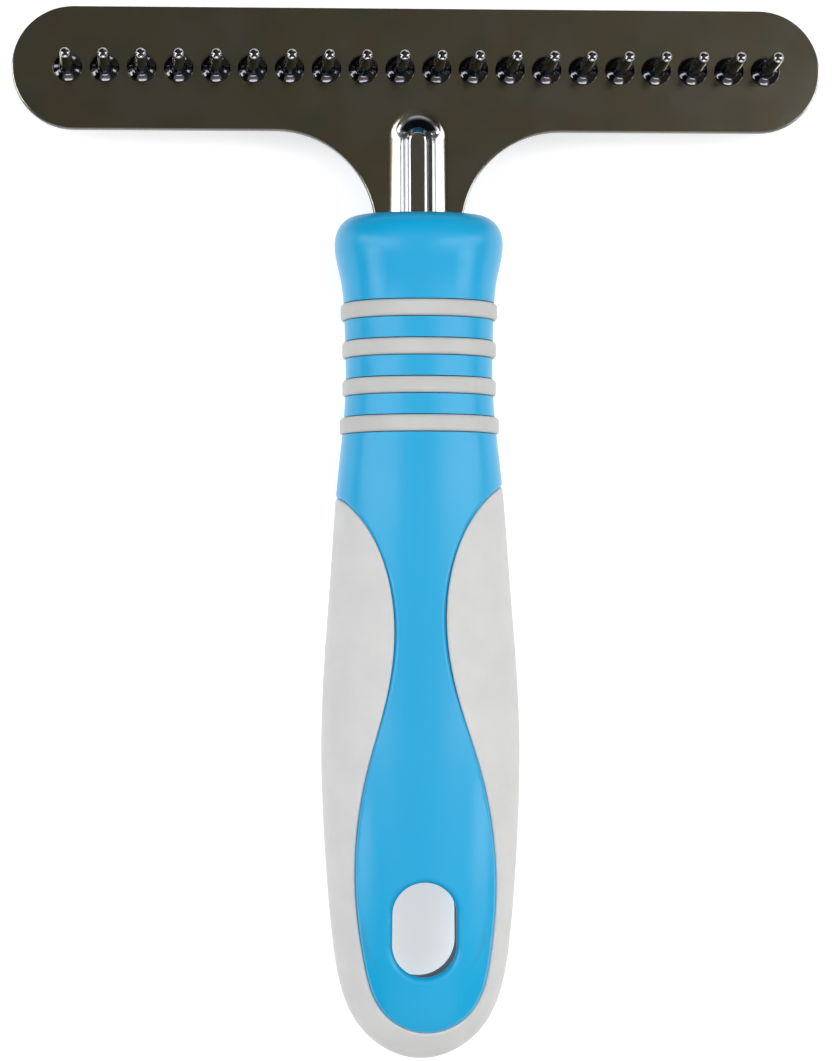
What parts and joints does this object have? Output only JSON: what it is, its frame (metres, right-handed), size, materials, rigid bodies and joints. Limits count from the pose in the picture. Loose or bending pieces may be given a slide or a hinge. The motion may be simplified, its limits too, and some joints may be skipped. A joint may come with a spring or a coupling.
{
  "type": "dematting comb",
  "caption": "T-shaped pet dematting comb: free-turning rounded metal pins in a row on a flat steel head, with a soft-sided two-colour handle and a hanging hole.",
  "frame": {"origin": "below the middle of the comb, on the surface that it lies on with its pins up", "axes": "+Z the way the pins point, +Y along the handle towards the head, +X along the row of pins"},
  "size_m": [0.11, 0.142, 0.0223],
  "materials": {
    "head_steel": "polished nickel plate",
    "pin_steel": "polished chrome plate",
    "blue_plastic": "satin moulded",
    "grey_soft_grip": "matte soft-touch"
  },
  "bodies": {
    "comb": {"head_plate": "head_steel", "handle_core": "blue_plastic", "side_grip": "grey_soft_grip", "neck_band_1": "grey_soft_grip", "neck_band_2": "grey_soft_grip", "neck_band_3": "grey_soft_grip", "neck_band_4": "grey_soft_grip"},
    "pin_01_body": {"pin_01": "pin_steel"},
    "pin_02_body": {"pin_02": "pin_steel"},
    "pin_03_body": {"pin_03": "pin_steel"},
    "pin_04_body": {"pin_04": "pin_steel"},
    "pin_05_body": {"pin_05": "pin_steel"},
    "pin_06_body": {"pin_06": "pin_steel"},
    "pin_07_body": {"pin_07": "pin_steel"},
    "pin_08_body": {"pin_08": "pin_steel"},
    "pin_09_body": {"pin_09": "pin_steel"},
    "pin_10_body": {"pin_10": "pin_steel"},
    "pin_11_body": {"pin_11": "pin_steel"},
    "pin_12_body": {"pin_12": "pin_steel"},
    "pin_13_body": {"pin_13": "pin_steel"},
    "pin_14_body": {"pin_14": "pin_steel"},
    "pin_15_body": {"pin_15": "pin_steel"},
    "pin_16_body": {"pin_16": "pin_steel"},
    "pin_17_body": {"pin_17": "pin_steel"},
    "pin_18_body": {"pin_18": "pin_steel"},
    "pin_19_body": {"pin_19": "pin_steel"},
    "pin_20_body": {"pin_20": "pin_steel"}
  },
  "joints": [
    {"name": "pin_01_spin", "type": "hinge", "parent": "comb", "child": "pin_01_body", "pos_m": [-0.0475, 0.06265, 0.0103], "axis": [0, 0, 1], "continuous": true},
    {"name": "pin_02_spin", "type": "hinge", "parent": "comb", "child": "pin_02_body", "pos_m": [-0.0425, 0.06265, 0.0103], "axis": [0, 0, 1], "continuous": true},
    {"name": "pin_03_spin", "type": "hinge", "parent": "comb", "child": "pin_03_body", "pos_m": [-0.0375, 0.06265, 0.0103], "axis": [0, 0, 1], "continuous": true},
    {"name": "pin_04_spin", "type": "hinge", "parent": "comb", "child": "pin_04_body", "pos_m": [-0.0325, 0.06265, 0.0103], "axis": [0, 0, 1], "continuous": true},
    {"name": "pin_05_spin", "type": "hinge", "parent": "comb", "child": "pin_05_body", "pos_m": [-0.0275, 0.06265, 0.0103], "axis": [0, 0, 1], "continuous": true},
    {"name": "pin_06_spin", "type": "hinge", "parent": "comb", "child": "pin_06_body", "pos_m": [-0.0225, 0.06265, 0.0103], "axis": [0, 0, 1], "continuous": true},
    {"name": "pin_07_spin", "type": "hinge", "parent": "comb", "child": "pin_07_body", "pos_m": [-0.0175, 0.06265, 0.0103], "axis": [0, 0, 1], "continuous": true},
    {"name": "pin_08_spin", "type": "hinge", "parent": "comb", "child": "pin_08_body", "pos_m": [-0.0125, 0.06265, 0.0103], "axis": [0, 0, 1], "continuous": true},
    {"name": "pin_09_spin", "type": "hinge", "parent": "comb", "child": "pin_09_body", "pos_m": [-0.0075, 0.06265, 0.0103], "axis": [0, 0, 1], "continuous": true},
    {"name": "pin_10_spin", "type": "hinge", "parent": "comb", "child": "pin_10_body", "pos_m": [-0.0025, 0.06265, 0.0103], "axis": [0, 0, 1], "continuous": true},
    {"name": "pin_11_spin", "type": "hinge", "parent": "comb", "child": "pin_11_body", "pos_m": [0.0025, 0.06265, 0.0103], "axis": [0, 0, 1], "continuous": true},
    {"name": "pin_12_spin", "type": "hinge", "parent": "comb", "child": "pin_12_body", "pos_m": [0.0075, 0.06265, 0.0103], "axis": [0, 0, 1], "continuous": true},
    {"name": "pin_13_spin", "type": "hinge", "parent": "comb", "child": "pin_13_body", "pos_m": [0.0125, 0.06265, 0.0103], "axis": [0, 0, 1], "continuous": true},
    {"name": "pin_14_spin", "type": "hinge", "parent": "comb", "child": "pin_14_body", "pos_m": [0.0175, 0.06265, 0.0103], "axis": [0, 0, 1], "continuous": true},
    {"name": "pin_15_spin", "type": "hinge", "parent": "comb", "child": "pin_15_body", "pos_m": [0.0225, 0.06265, 0.0103], "axis": [0, 0, 1], "continuous": true},
    {"name": "pin_16_spin", "type": "hinge", "parent": "comb", "child": "pin_16_body", "pos_m": [0.0275, 0.06265, 0.0103], "axis": [0, 0, 1], "continuous": true},
    {"name": "pin_17_spin", "type": "hinge", "parent": "comb", "child": "pin_17_body", "pos_m": [0.0325, 0.06265, 0.0103], "axis": [0, 0, 1], "continuous": true},
    {"name": "pin_18_spin", "type": "hinge", "parent": "comb", "child": "pin_18_body", "pos_m": [0.0375, 0.06265, 0.0103], "axis": [0, 0, 1], "continuous": true},
    {"name": "pin_19_spin", "type": "hinge", "parent": "comb", "child": "pin_19_body", "pos_m": [0.0425, 0.06265, 0.0103], "axis": [0, 0, 1], "continuous": true},
    {"name": "pin_20_spin", "type": "hinge", "parent": "comb", "child": "pin_20_body", "pos_m": [0.0475, 0.06265, 0.0103], "axis": [0, 0, 1], "continuous": true}
  ]
}
